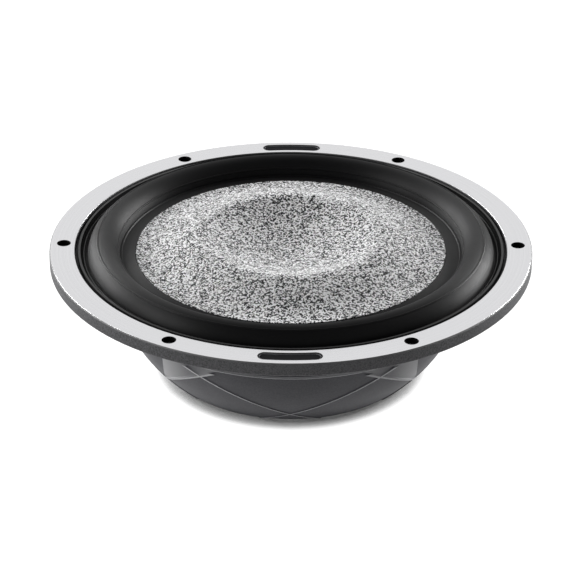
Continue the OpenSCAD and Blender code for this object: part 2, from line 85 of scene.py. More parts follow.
# fall of the cone's glued edge, for each unit outwards
FLANGE_SLOPE = 0.14
HALF_SECTOR = math.pi / 6
# near-black colours painted as shade: the first inside the bolt holes, the second in the gap round
# a plate and on the retainer's foot
HOLE_SHADE_BLACK = (0.004, 0.004, 0.004, 1)
PAINTED_SHADE_BLACK = (0.002, 0.002, 0.002, 1)


def linear(code):
    """An sRGB hex colour as linear RGB."""
    channels = [int(code[i : i + 2], 16) / 255 for i in (1, 3, 5)]
    return tuple(
        c / 12.92 if c <= 0.04045 else ((c + 0.055) / 1.055) ** 2.4 for c in channels
    )


def rgba(colour):
    return (*tuple(colour)[:3], 1.0)


def length(name, description, millimetres):
    return FloatProperty(
        name=name,
        description=description,
        default=millimetres * MM,
        min=0,
        unit="LENGTH",
        subtype="DISTANCE",
        precision=5,
    )


def colour(name, description, code):
    return FloatVectorProperty(
        name=name,
        description=description,
        default=linear(code),
        size=3,
        min=0,
        max=1,
        subtype="COLOR",
    )


class SubwooferSizes(bpy.types.PropertyGroup):
    """Sizes of the pieces made here"""

    segments: IntProperty(
        name="Segments",
        description="Flats round a turned piece",
        default=240,
        min=48,
        max=480,
    )
    # trim ring
    bolt_radius: length("Bolt radius", "Radius of the bolt circle", 124.4)
    # painted shade: the bolt holes are coloured near black out to this radius
    hole_radius: length("Hole radius", "Radius of the dark round a bolt hole", 3.8)
    plate_width: length("Plate width", "Width of a bare name plate", 7.7)
    plate_angle: FloatProperty(
        name="Plate angle",
        description="Angle between the end centres of a name plate",
        default=math.radians(11.8),
        min=0,
        max=math.pi,
        subtype="ANGLE",
        unit="ROTATION",
    )
    # surround
    rubber: length("Rubber", "Thickness of the surround's rubber", 1.2)
    foot_radius: length("Foot radius", "Outer radius of the surround's foot", 116.3)
    foot_height: length("Foot height", "Height of the top of the surround's foot", 4.1)
    roll_centre: length("Roll centre", "Radius of the circle along the roll", 102.4)
    roll_radius: length("Roll radius", "Outer radius of the half roll", 8.7)
    bead: length("Bead", "Radius of the beads on the roll", 0.5)
    # cone
    cone_edge: length("Cone edge", "Radius of the cone's visible face", 84.7)
    cone_edge_height: length("Cone edge height", "Height of that edge", 4.8)
    cone_lip: length("Cone lip", "Radius of the lip under the surround", 92.7)
    ridge_radius: length("Ridge radius", "Radius of the cone's ridge", 48.4)
    ridge_rise: length("Ridge rise", "Height of the ridge over the trim ring's face", 6.8)
    ridge_round: length("Ridge rounding", "Half width of the ridge's rounded top", 3)
    dish: length("Dish", "Depth of the dish inside the ridge", 11.5)
    cone_wall: length("Cone wall", "Thickness of the cone", 2.5)
    # spider
    cloth: length("Cloth", "Thickness of the spider's cloth", 0.8)
    wave: length("Wave", "Height of the spider's waves", 2)
    spider_height: FloatProperty(
        name="Spider height",
        description="Height of the spider's seat",
        default=-19 * MM,
        unit="LENGTH",
        precision=5,
    )
    # basket
    line_offset: length("Line offset", "Distance of a line's centre from the axis", 34)
    line_radius: length("Line radius", "Radius of a raised line", 68)


class SubwooferColours(bpy.types.PropertyGroup):
    """Colours of the finishes"""

    aluminium: colour("Aluminium", "Turned face of the trim ring", "#dedee0")
    ring_side: colour("Ring side", "Grainy paint on the ring's side", "#3b3b3d")
    rubber: colour("Rubber", "Surround and retainer", "#070708")
    fibre_light: colour("Light fibre", "Bright fibres of the cone", "#f4f4f5")
    fibre_dark: colour("Dark fibre", "Gaps between the cone's fibres", "#060607")
    casting: colour("Casting", "Powder coat on the basket", "#515155")
    plating: colour("Plating", "Black zinc on the motor's steel", "#2d2d31")
    ferrite: colour("Ferrite", "Ground ceramic magnet", "#2c2c2e")


# ---- meshes


def finish_mesh(bm, name, material, sharp=35):
    """Closes and orients a bmesh, and links it as a smooth-shaded object."""
    bmesh.ops.remove_doubles(bm, verts=bm.verts[:], dist=1e-6)
    bmesh.ops.dissolve_degenerate(bm, dist=1e-7, edges=bm.edges[:])
    bmesh.ops.recalc_face_normals(bm, faces=bm.faces[:])
    mesh = bpy.data.meshes.new(name)
    bm.to_mesh(mesh)
    bm.free()
    mesh.shade_smooth()
    mesh.set_sharp_from_angle(angle=math.radians(sharp))
    mesh.materials.append(material)
    piece = bpy.data.objects.new(name, mesh)
    bpy.context.scene.collection.objects.link(piece)
    return piece


def profile_loop(bm, outline, turn=0.0):
    """A half section given as (radius, height) points, turned round the axis."""
    ring = [
        bm.verts.new((r * math.cos(turn), r * math.sin(turn), z)) for r, z in outline
    ]
    edges = [bm.edges.new((a, b)) for a, b in zip(ring, ring[1:] + ring[:1])]
    return ring, edges


def turned(name, outline, material, segments, sharp=35):
    """A closed ring or disc: the outline spun a full turn."""
    bm = bmesh.new()
    ring, edges = profile_loop(bm, outline)
    bmesh.ops.spin(
        bm,
        geom=ring + edges,
        cent=(0, 0, 0),
        axis=(0, 0, 1),
        dvec=(0, 0, 0),
        angle=FULL_TURN,
        steps=segments,
        use_merge=True,
        use_duplicate=False,
    )
    return finish_mesh(bm, name, material, sharp)


def wire_mesh(name, paths, radius, material):
    """Round wires along paths of points, as one mesh."""
    curve = bpy.data.curves.new(name, "CURVE")
    curve.dimensions = "3D"
    curve.bevel_depth = radius
    curve.bevel_resolution = 2
    curve.use_fill_caps = True
    for path in paths:
        spline = curve.splines.new("POLY")
        spline.points.add(len(path) - 1)
        for point, place in zip(spline.points, path):
            point.co = (*place, 1)
    holder = bpy.data.objects.new(name + "_path", curve)
    bpy.context.scene.collection.objects.link(holder)
    bpy.context.view_layer.update()
    mesh = bpy.data.meshes.new_from_object(
        holder.evaluated_get(bpy.context.evaluated_depsgraph_get())
    )
    bpy.data.objects.remove(holder)
    bpy.data.curves.remove(curve)
    bm = bmesh.new()
    bm.from_mesh(mesh)
    bpy.data.meshes.remove(mesh)
    return finish_mesh(bm, name, material, 50)


def arc(centre, radius, first, last, steps):
    """Points on an arc of a half section, with angles in degrees."""
    turns = [math.radians(first + (last - first) * i / steps) for i in range(steps + 1)]
    return [
        (centre[0] + radius * math.cos(t), centre[1] + radius * math.sin(t))
        for t in turns
    ]


# ---- materials


def add_node(tree, kind, inputs=None, stops=None, **settings):
    """Adds a node; inputs maps its sockets to values or to the outputs that feed them."""
    node = tree.nodes.new(kind)
    for name, value in settings.items():
        setattr(node, name, value)
    for socket, value in (inputs or {}).items():
        if isinstance(value, bpy.types.NodeSocket):
            tree.links.new(value, node.inputs[socket])
        else:
            node.inputs[socket].default_value = value
    if stops:
        elements = node.color_ramp.elements
        while len(elements) < len(stops):
            elements.new(0.5)
        for element, (position, shade) in zip(elements, stops):
            element.position = position
            element.color = rgba(shade)
    return node


def start_material(name):
    """An empty node material, and the object's own coordinates in metres."""
    material = bpy.data.materials.new(name)
    material.use_nodes = True
    tree = material.node_tree
    tree.nodes.clear()
    place = add_node(tree, "ShaderNodeTexCoord").outputs["Object"]
    return material, tree, place


def finish_material(tree, height, relief, looks, **settings):
    """Ends a material in one surface with a relief, whose depth is in metres."""
    bump = add_node(
        tree,
        "ShaderNodeBump",
        {"Height": height, "Strength": 1.0, "Distance": relief},
        **settings,
    ).outputs["Normal"]
    surface = add_node(tree, "ShaderNodeBsdfPrincipled", {**looks, "Normal": bump})
    add_node(tree, "ShaderNodeOutputMaterial", {"Surface": surface.outputs["BSDF"]})


def per_mm(size):
    """A texture's scale for features of a real size in millimetres."""
    return 1 / (size * MM)


def toned(shade, factor):
    """A shade made darker or paler."""
    return tuple(min(1, c * factor) for c in shade)


def from_the_axis(tree, place):
    """Distance from the axis, the place seen from above, and the separate coordinates."""
    axes = add_node(tree, "ShaderNodeSeparateXYZ", {"Vector": place}).outputs
    plan = add_node(
        tree, "ShaderNodeCombineXYZ", {"X": axes["X"], "Y": axes["Y"]}
    ).outputs[0]
    radius = add_node(
        tree, "ShaderNodeVectorMath", {0: plan}, operation="LENGTH"
    ).outputs["Value"]
    return radius, plan, axes


def round_the_axis(tree, plan):
    """Direction along the circle on which each place lies."""
    along = add_node(
        tree, "ShaderNodeVectorMath", {0: (0, 0, 1), 1: plan}, operation="CROSS_PRODUCT"
    ).outputs[0]
    return add_node(
        tree, "ShaderNodeVectorMath", {0: along}, operation="NORMALIZE"
    ).outputs[0]


def folded_in_six(tree, radius, axes, shift):
    """The place round the axis, folded into half of one of six sectors.

    The shift turns the sectors.
    """
    turn = add_node(
        tree, "ShaderNodeMath", {0: axes["Y"], 1: axes["X"]}, operation="ARCTAN2"
    ).outputs[0]
    turn = add_node(
        tree, "ShaderNodeMath", {0: turn, 1: shift}, operation="ADD"
    ).outputs[0]
    turn = add_node(
        tree, "ShaderNodeMath", {0: turn, 1: HALF_SECTOR}, operation="PINGPONG"
    ).outputs[0]
    outwards = add_node(tree, "ShaderNodeCombineXYZ", {"X": radius}).outputs[0]
    return add_node(
        tree,
        "ShaderNodeVectorRotate",
        {"Vector": outwards, "Axis": (0, 0, 1), "Angle": turn},
    ).outputs[0]


def powder_coat(name, shade, grain):
    """Sprayed and baked paint: fine orange-peel grain, satin, slightly uneven in tone."""
    material, tree, place = start_material(name)
    peel = add_node(
        tree,
        "ShaderNodeTexNoise",
        {"Vector": place, "Scale": per_mm(grain), "Detail": 2.0, "Roughness": 0.6},
    ).outputs["Fac"]
    tone = add_node(
        tree,
        "ShaderNodeValToRGB",
        {"Fac": peel},
        stops=[(0.3, toned(shade, 0.75)), (0.7, toned(shade, 1.25))],
    ).outputs["Color"]
    looks = {"Base Color": tone, "Roughness": 0.5, "IOR": 1.5}
    finish_material(tree, peel, 0.05 * MM, looks)
    return material


def turned_ring(name, face, side, bolt_radius, hole_radius):
    """Lathe-turned aluminium face, with its chamfers painted dark grey as shade, over grainy baked
    paint on the sides.

    The eye sees a pale, even sheen with very fine concentric lines, bolt holes painted near black
    as shade and a speckled dark edge.
    """
    material, tree, place = start_material(name)
    radius, plan, axes = from_the_axis(tree, place)
    # the paint stops just under the chamfer that was cut through it
    paint_top = FACE_Z - 0.62 * MM
    cut = add_node(
        tree, "ShaderNodeMath", {0: axes["Z"], 1: paint_top}, operation="GREATER_THAN"
    ).outputs[0]
    # distance from the nearest of the six bolts' axes
    off_bolt = add_node(
        tree,
        "ShaderNodeVectorMath",
        {0: folded_in_six(tree, radius, axes, 0), 1: (bolt_radius, 0, 0)},
        operation="DISTANCE",
    ).outputs["Value"]
    solid = add_node(
        tree, "ShaderNodeMath", {0: off_bolt, 1: hole_radius}, operation="GREATER_THAN"
    ).outputs[0]
    bare = add_node(
        tree, "ShaderNodeMath", {0: cut, 1: solid}, operation="MULTIPLY"
    ).outputs[0]
    # tool marks, drawn 0.7 mm apart so that they show
    marks = add_node(
        tree,
        "ShaderNodeTexNoise",
        {"W": radius, "Scale": per_mm(0.7), "Detail": 3.0, "Roughness": 0.7},
        noise_dimensions="1D",
    ).outputs["Fac"]
    grain = add_node(
        tree,
        "ShaderNodeTexNoise",
        {"Vector": place, "Scale": per_mm(0.75), "Detail": 2.0, "Roughness": 0.65},
    ).outputs["Fac"]
    metal = add_node(
        tree,
        "ShaderNodeValToRGB",
        {"Fac": marks},
        stops=[(0.3, toned(face, 0.93)), (0.7, face)],
    ).outputs["Color"]
    # painted shade: the chamfers are coloured a dull dark grey
    chamfer_top = FACE_Z - 0.04 * MM
    chamfer_shade = (0.12, 0.12, 0.122, 1)
    level = add_node(
        tree, "ShaderNodeMath", {0: axes["Z"], 1: chamfer_top}, operation="GREATER_THAN"
    ).outputs[0]
    metal = add_node(
        tree, "ShaderNodeMix", {0: level, 6: chamfer_shade, 7: metal}, data_type="RGBA"
    ).outputs[2]
    bright = add_node(
        tree, "ShaderNodeMath", {0: bare, 1: level}, operation="MULTIPLY"
    ).outputs[0]
    paint = add_node(
        tree,
        "ShaderNodeValToRGB",
        {"Fac": grain},
        stops=[(0.34, toned(side, 0.3)), (0.66, toned(side, 2.0))],
    ).outputs["Color"]
    # painted shade: inside a bolt hole the colour is near black
    hole_shade = add_node(
        tree, "ShaderNodeMix", {0: solid, 6: HOLE_SHADE_BLACK, 7: paint}, data_type="RGBA"
    ).outputs[2]
    tone = add_node(
        tree, "ShaderNodeMix", {0: bare, 6: hole_shade, 7: metal}, data_type="RGBA"
    ).outputs[2]
    height = add_node(
        tree, "ShaderNodeMix", {0: bare, 2: grain, 3: marks}, data_type="FLOAT"
    ).outputs[0]
    relief = add_node(
        tree, "ShaderNodeMix", {0: bare, 2: 0.12 * MM, 3: 0.002 * MM}, data_type="FLOAT"
    ).outputs[0]
    rough = add_node(
        tree, "ShaderNodeMix", {0: bright, 2: 0.6, 3: 0.2}, data_type="FLOAT"
    ).outputs[0]
    # almost nothing shines inside a hole
    gloss = add_node(
        tree, "ShaderNodeMix", {0: solid, 2: 1.03, 3: 1.5}, data_type="FLOAT"
    ).outputs[0]
    looks = {
        "Base Color": tone,
        "Metallic": bright,
        "Roughness": rough,
        "IOR": gloss,
        "Tangent": round_the_axis(tree, plan),
    }
    finish_material(tree, height, relief, looks)
    return material


def moulded_lip(name, shade):
    """The retainer's moulding: a satin lip above a foot painted near black as shade, and made fully
    rough.

    The eye sees a thin grey ring with black on both sides.
    """
    material, tree, place = start_material(name)
    axes = add_node(tree, "ShaderNodeSeparateXYZ", {"Vector": place}).outputs
    shaded_foot_top = FACE_Z - 1.2 * MM
    lip = add_node(
        tree, "ShaderNodeMath", {0: axes["Z"], 1: shaded_foot_top}, operation="GREATER_THAN"
    ).outputs[0]
    # painted shade: below this height the foot is coloured near black
    tone = add_node(
        tree, "ShaderNodeMix", {0: lip, 6: PAINTED_SHADE_BLACK, 7: rgba(shade)}, data_type="RGBA"
    ).outputs[2]
    rough = add_node(
        tree, "ShaderNodeMix", {0: lip, 2: 1.0, 3: 0.45}, data_type="FLOAT"
    ).outputs[0]
    skin = add_node(
        tree, "ShaderNodeTexNoise", {"Vector": place, "Scale": per_mm(0.8), "Detail": 2.0}
    ).outputs["Fac"]
    looks = {"Base Color": tone, "Roughness": rough, "IOR": 1.45}
    finish_material(tree, skin, 0.02 * MM, looks)
    return material


def sprayed_bowl(name, shade, line_offset, line_radius):
    """Powder coat on the casting: satin dark grey, with painted highlights along its raised lines
    and its upper edge.

    Four upper petals between the lines get a painted pale sheen.
    """
    material, tree, place = start_material(name)
    bowl_top, lines_top = -21.2 * MM, -24.05 * MM
    crest_half, edge_half = 0.26 * MM, 0.2 * MM
    petal_tip, petal_waist, petal_palest, petal_end = 43 * MM, 54 * MM, 67 * MM, 68 * MM
    petal_low, petal_high = -54 * MM, -42 * MM
    peel = add_node(
        tree,
        "ShaderNodeTexNoise",
        {"Vector": place, "Scale": per_mm(0.9), "Detail": 2.0, "Roughness": 0.6},
    ).outputs["Fac"]
    cloud = add_node(
        tree, "ShaderNodeTexNoise", {"Vector": place, "Scale": per_mm(22), "Detail": 2.0}
    ).outputs["Fac"]
    coat = add_node(
        tree,
        "ShaderNodeValToRGB",
        {"Fac": peel},
        stops=[(0.3, toned(shade, 0.8)), (0.7, toned(shade, 1.2))],
    ).outputs["Color"]
    unevenness = add_node(
        tree,
        "ShaderNodeMapRange",
        {"Value": cloud, "From Min": 0.3, "From Max": 0.7, "To Min": 0.9, "To Max": 1.1},
    ).outputs["Result"]
    coat = add_node(
        tree, "ShaderNodeHueSaturation", {"Color": coat, "Value": unevenness}
    ).outputs["Color"]
    radius, _, axes = from_the_axis(tree, place)
    height = axes["Z"]

    def off_middle(spot, degrees):
        """Distance from the middle of the line's circle at a bearing."""
        bearing = math.radians(degrees)
        middle = (line_offset * math.cos(bearing), line_offset * math.sin(bearing), 0)
        return add_node(
            tree, "ShaderNodeVectorMath", {0: spot, 1: middle}, operation="DISTANCE"
        ).outputs["Value"]

    # painted highlight along the crest of each raised line: six circles round the axis, three of
    # them near
    sector = folded_in_six(tree, radius, axes, HALF_SECTOR)
    nearest = None
    for degrees in (0, 60, -60):
        off = add_node(
            tree,
            "ShaderNodeMath",
            {0: off_middle(sector, degrees), 1: line_radius},
            operation="SUBTRACT",
        ).outputs[0]
        off = add_node(tree, "ShaderNodeMath", {0: off}, operation="ABSOLUTE").outputs[0]
        if nearest is not None:
            off = add_node(
                tree, "ShaderNodeMath", {0: nearest, 1: off}, operation="MINIMUM"
            ).outputs[0]
        nearest = off
    crest_highlight = add_node(
        tree, "ShaderNodeMath", {0: nearest, 1: crest_half}, operation="LESS_THAN"
    ).outputs[0]
    raised = add_node(
        tree, "ShaderNodeMath", {0: height, 1: lines_top}, operation="LESS_THAN"
    ).outputs[0]
    line = add_node(
        tree, "ShaderNodeMath", {0: crest_highlight, 1: raised}, operation="MULTIPLY"
    ).outputs[0]
    # and a painted highlight along the bowl's upper edge
    edge = add_node(
        tree, "ShaderNodeMath", {0: height, 1: bowl_top, 2: edge_half}, operation="COMPARE"
    ).outputs[0]
    line = add_node(
        tree, "ShaderNodeMath", {0: line, 1: edge}, operation="MAXIMUM"
    ).outputs[0]
    # painted sheen on the petals, folded into one quarter: outside the front line, some inside the
    # side line
    quarter = add_node(
        tree, "ShaderNodeVectorMath", {0: place}, operation="ABSOLUTE"
    ).outputs[0]
    folded = add_node(tree, "ShaderNodeSeparateXYZ", {"Vector": quarter}).outputs
    flat = add_node(
        tree, "ShaderNodeCombineXYZ", {"X": folded["X"], "Y": folded["Y"]}
    ).outputs[0]
    petal_sheen = add_node(
        tree,
        "ShaderNodeMath",
        {0: off_middle(flat, 90), 1: line_radius},
        operation="GREATER_THAN",
    ).outputs[0]
    inside = add_node(
        tree,
        "ShaderNodeMath",
        {0: off_middle(flat, 30), 1: line_radius},
        operation="LESS_THAN",
    ).outputs[0]
    # the painted sheen is palest at a petal's outer end; past the second line it fades from the tip
    outwards = add_node(
        tree,
        "ShaderNodeMapRange",
        {
            "Value": folded["X"],
            "From Min": petal_waist,
            "From Max": petal_palest,
            "To Min": 0.35,
            "To Max": 1.0,
        },
    ).outputs["Result"]
    outwards = add_node(
        tree, "ShaderNodeMath", {0: outwards, 1: inside}, operation="MULTIPLY"
    ).outputs[0]
    fade = add_node(
        tree,
        "ShaderNodeMapRange",
        {
            "Value": folded["X"],
            "From Min": petal_tip,
            "From Max": petal_waist,
            "To Min": 0.6,
            "To Max": 0.0,
        },
    ).outputs["Result"]
    amount = add_node(
        tree, "ShaderNodeMath", {0: outwards, 1: fade}, operation="MAXIMUM"
    ).outputs[0]
    near = add_node(
        tree, "ShaderNodeMath", {0: folded["X"], 1: petal_end}, operation="LESS_THAN"
    ).outputs[0]
    below = add_node(
        tree, "ShaderNodeMath", {0: height, 1: bowl_top}, operation="LESS_THAN"
    ).outputs[0]
    upper = add_node(
        tree,
        "ShaderNodeMapRange",
        {"Value": height, "From Min": petal_low, "From Max": petal_high},
    ).outputs["Result"]
    for part in (amount, near, below, upper):
        petal_sheen = add_node(
            tree, "ShaderNodeMath", {0: petal_sheen, 1: part}, operation="MULTIPLY"
        ).outputs[0]
    # painted sheen on the petals, then a painted highlight on the raised lines and the upper edge
    tone = coat
    for share, code in ((petal_sheen, "#b8b8ba"), (line, "#d4d4d6")):
        tone = add_node(
            tree,
            "ShaderNodeMix",
            {0: share, 6: tone, 7: rgba(linear(code))},
            data_type="RGBA",
        ).outputs[2]
    looks = {"Base Color": tone, "Roughness": 0.55, "IOR": 1.3}
    finish_material(tree, peel, 0.03 * MM, looks)
    return material


def framed_plate(name, field, edge, plate_radius, half_angle, half_width):
    """Baked black plate with a rounded outline: a paler rim inside a black gap painted as shade."""
    material, tree, place = start_material(name)
    quarter = add_node(
        tree, "ShaderNodeVectorMath", {0: place}, operation="ABSOLUTE"
    ).outputs[0]
    axes = add_node(tree, "ShaderNodeSeparateXYZ", {"Vector": quarter}).outputs
    flat = add_node(
        tree, "ShaderNodeCombineXYZ", {"X": axes["X"], "Y": axes["Y"]}
    ).outputs[0]
    turn = add_node(
        tree, "ShaderNodeMath", {0: axes["X"], 1: axes["Y"]}, operation="ARCTAN2"
    ).outputs[0]
    turn = add_node(
        tree, "ShaderNodeMath", {0: turn, 1: half_angle}, operation="MINIMUM"
    ).outputs[0]
    # the nearest point on the plate's middle line
    nearest = add_node(
        tree,
        "ShaderNodeVectorRotate",
        {"Vector": (0, plate_radius, 0), "Axis": (0, 0, -1), "Angle": turn},
    ).outputs[0]
    off = add_node(
        tree, "ShaderNodeVectorMath", {0: flat, 1: nearest}, operation="DISTANCE"
    ).outputs["Value"]
    margin = 2 * MM
    share = add_node(
        tree,
        "ShaderNodeMapRange",
        {"Value": off, "From Min": half_width - margin, "From Max": half_width},
    ).outputs["Result"]
    # painted shade: the black gap round the plate's rim
    tone = add_node(
        tree,
        "ShaderNodeValToRGB",
        {"Fac": share},
        stops=[(0.4, field), (0.5, edge), (0.64, edge), (0.72, PAINTED_SHADE_BLACK)],
    ).outputs["Color"]
    peel = add_node(
        tree, "ShaderNodeTexNoise", {"Vector": place, "Scale": per_mm(0.6), "Detail": 2.0}
    ).outputs["Fac"]
    looks = {"Base Color": tone, "Roughness": 0.8, "IOR": 1.12}
    finish_material(tree, peel, 0.05 * MM, looks)
    return material


def moulded_rubber(name, shade, rough=0.52, ior=1.26, grooves=0.75):
    """Butyl rubber from a lathe-turned mould: black, with a satin sheen.

    The mould's fine grooves stretch the sheen across the roll, so it lights up only where
    the roll runs past a lamp.
    """
    material, tree, place = start_material(name)
    _, plan, _ = from_the_axis(tree, place)
    bloom = add_node(
        tree, "ShaderNodeTexNoise", {"Vector": place, "Scale": per_mm(14), "Detail": 3.0}
    ).outputs["Fac"]
    skin = add_node(
        tree, "ShaderNodeTexNoise", {"Vector": place, "Scale": per_mm(0.8), "Detail": 2.0}
    ).outputs["Fac"]
    sheen = add_node(
        tree,
        "ShaderNodeMapRange",
        {
            "Value": bloom,
            "From Min": 0.3,
            "From Max": 0.7,
            "To Min": rough - 0.03,
            "To Max": rough + 0.03,
        },
    ).outputs["Result"]
    looks = {
        "Base Color": rgba(shade),
        "Roughness": sheen,
        "IOR": ior,
        "Anisotropic": grooves,
        "Anisotropic Rotation": 0.25,
        "Tangent": round_the_axis(tree, plan),
    }
    finish_material(tree, skin, 0.02 * MM, looks)
    return material


def fibre_mat(name, light, dark):
    """Chopped glass mat under clear resin: bright fibre ends with dark gaps, under 1 mm apart."""
    material, tree, place = start_material(name)
    fibres = add_node(
        tree, "ShaderNodeTexVoronoi", {"Vector": place, "Scale": per_mm(0.72)}
    ).outputs
    speckle = add_node(
        tree, "ShaderNodeSeparateXYZ", {"Vector": fibres["Color"]}
    ).outputs["X"]
    tone = add_node(
        tree, "ShaderNodeValToRGB", {"Fac": speckle}, stops=[(0.37, dark), (0.58, light)]
    ).outputs["Color"]
    looks = {"Base Color": tone, "Roughness": 0.6, "IOR": 1.35}
    finish_material(tree, fibres["Distance"], 0.28 * MM, looks, invert=True)
    return material


def turned_steel(name, shade, rough=0.38, spacing=0.9):
    """Turned metal, plated or bare, with fine tool lines round the axis."""
    material, tree, place = start_material(name)
    radius, _, _ = from_the_axis(tree, place)
    marks = add_node(
        tree,
        "ShaderNodeTexNoise",
        {"W": radius, "Scale": per_mm(spacing), "Detail": 3.0, "Roughness": 0.7},
        noise_dimensions="1D",
    ).outputs["Fac"]
    tone = add_node(
        tree,
        "ShaderNodeValToRGB",
        {"Fac": marks},
        stops=[(0.3, toned(shade, 0.8)), (0.7, toned(shade, 1.15))],
    ).outputs["Color"]
    looks = {"Base Color": tone, "Metallic": 1.0, "Roughness": rough}
    finish_material(tree, marks, 0.01 * MM, looks)
    return material


def plain_finish(name, shade, rough, metallic=0.0, grain=0.5, relief=0.01):
    """A moulded, plated or drawn finish with a light surface grain."""
    material, tree, place = start_material(name)
    skin = add_node(
        tree,
        "ShaderNodeTexNoise",
        {"Vector": place, "Scale": per_mm(grain), "Detail": 3.0},
    ).outputs["Fac"]
    wear = add_node(
        tree,
        "ShaderNodeMapRange",
        {
            "Value": skin,
            "From Min": 0.3,
            "From Max": 0.7,
            "To Min": rough * 0.85,
            "To Max": rough * 1.15,
        },
    ).outputs["Result"]
    tone = add_node(
        tree,
        "ShaderNodeValToRGB",
        {"Fac": skin},
        stops=[(0.3, toned(shade, 0.88)), (0.7, toned(shade, 1.1))],
    ).outputs["Color"]
    looks = {"Base Color": tone, "Metallic": metallic, "Roughness": wear}
    finish_material(tree, skin, relief * MM, looks)
    return material


def woven_cloth(name, shade):
    """Resin-dipped cotton: a plain weave, drawn coarse, 5.65 mm apart."""
    material, tree, place = start_material(name)
    # a wave texture repeats 20 times in 2 pi of its scale
    scale = per_mm(0.9) / 20
    threads = [
        add_node(
            tree,
            "ShaderNodeTexWave",
            {"Vector": place, "Scale": scale, "Distortion": 0.4},
            bands_direction=direction,
        ).outputs["Fac"]
        for direction in ("X", "Y")
    ]
    weave = add_node(
        tree, "ShaderNodeMath", {0: threads[0], 1: threads[1]}, operation="MULTIPLY"
    ).outputs[0]
    tone = add_node(
        tree,
        "ShaderNodeValToRGB",
        {"Fac": weave},
        stops=[(0.1, toned(shade, 0.4)), (0.7, shade)],
    ).outputs["Color"]
    looks = {"Base Color": tone, "Roughness": 0.8, "Sheen Weight": 0.2}
    finish_material(tree, weave, 0.2 * MM, looks)
    return material


def dress(node, material):
    """Gives a CAD node its material."""
    mesh = NODES[node].data
    mesh.materials.clear()
    mesh.materials.append(material)


# ---- pieces


class SUBWOOFER_OT_trim(bpy.types.Operator):
    """Finish the trim ring, its two inlays and the surround's retainer"""

    bl_idname = "subwoofer.trim"
    bl_label = "Trim"

    def execute(self, context):
        shades = context.scene.subwoofer_colours
        sizes = context.scene.subwoofer_sizes
        ring = turned_ring(
            "Turned aluminium ring",
            shades.aluminium,
            shades.ring_side,
            sizes.bolt_radius,
            sizes.hole_radius,
        )
        dress("trim_ring", ring)
        plate = framed_plate(
            "Baked black plate",
            linear("#1e1e20"),
            linear("#77777a"),
            sizes.bolt_radius,
            sizes.plate_angle / 2,
            sizes.plate_width / 2,
        )
        for node in ("badge_inlay_front", "badge_inlay_rear"):
            dress(node, plate)
        dress("surround_retainer", moulded_lip("Moulded retainer", shades.rubber))
        low, high = 4.2 * MM, 5.35 * MM
        middle, half, bevel = 113.2 * MM, 0.3 * MM, 0.15 * MM
        # a raised bead whose rubber is painted paler than the rest as a painted highlight
        bead = turned(
            "retainer_bead",
            [
                (middle - half, low),
                (middle + half, low),
                (middle + half, high - bevel),
                (middle + bevel, high),
                (middle - bevel, high),
                (middle - half, high - bevel),
            ],
            moulded_rubber("Retainer bead painted highlight", linear("#2c2c2e"), 0.5, 1.45, 0.3),
            sizes.segments,
        )
        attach(bead, "frame")
        return {"FINISHED"}


class SUBWOOFER_OT_surround(bpy.types.Operator):
    """Build the half-roll surround as two rings"""

    bl_idname = "subwoofer.surround"
    bl_label = "Surround"

    def execute(self, context):
        s = context.scene.subwoofer_sizes
        rubber = moulded_rubber("Butyl rubber", context.scene.subwoofer_colours.rubber)
        centre = (s.roll_centre, s.foot_height)
        foot_low = s.foot_height - s.rubber
        inner_r = s.roll_radius - s.rubber
        above = s.foot_height + 2 * s.roll_radius
        bead_angles = (68, 154)

        def skin(first, last, steps):
            """The roll's outside, with a bead wherever one lies between the two angles."""
            points = []
            for i in range(steps + 1):
                angle = first + (last - first) * i / steps
                grown = s.roll_radius
                for place in bead_angles:
                    off = math.radians(angle - place) * s.roll_radius
                    if abs(off) < s.bead:
                        grown += math.sqrt(s.bead**2 - off**2)
                points += arc(centre, grown, angle, angle, 1)[:1]
            return points

        outer = (
            [(s.foot_radius, foot_low), (s.foot_radius, s.foot_height)]
            + skin(0, 90, 90)
            + arc(centre, inner_r, 90, 0, 30)
            + [(centre[0] + inner_r, foot_low)]
        )
        inner_foot = centre[0] - s.roll_radius
        glued = s.cone_edge + 0.3 * MM
        step, bevel = 0.5 * MM, 0.2 * MM
        step_end, step_foot = inner_foot - 1.1 * MM, inner_foot - 1.5 * MM

        def flange(r):
            """Height of the sloping top of the part that is glued to the cone."""
            return s.cone_edge_height - FLANGE_SLOPE * (r - s.cone_edge)

        inner = (
            arc(centre, inner_r, 180, 90, 30)
            + skin(90, 180, 90)
            + [
                (inner_foot, flange(inner_foot) + step),
                (step_end, flange(step_end) + step),
                (step_foot, flange(step_foot)),
                (glued + bevel, flange(glued + bevel)),
                (glued, flange(glued) - bevel),
                (glued, flange(glued) - s.rubber),
                (centre[0] - inner_r, flange(centre[0] - inner_r) - s.rubber),
            ]
        )
        halves = (
            ("surround_outer_half", outer, s.foot_height, above),
            ("surround_inner_half", inner, above, s.foot_height),
        )
        for name, outline, start, end in halves:
            piece = turned(name, outline, rubber, s.segments, 40)
            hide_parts("surround")
            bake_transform(piece)
        return {"FINISHED"}


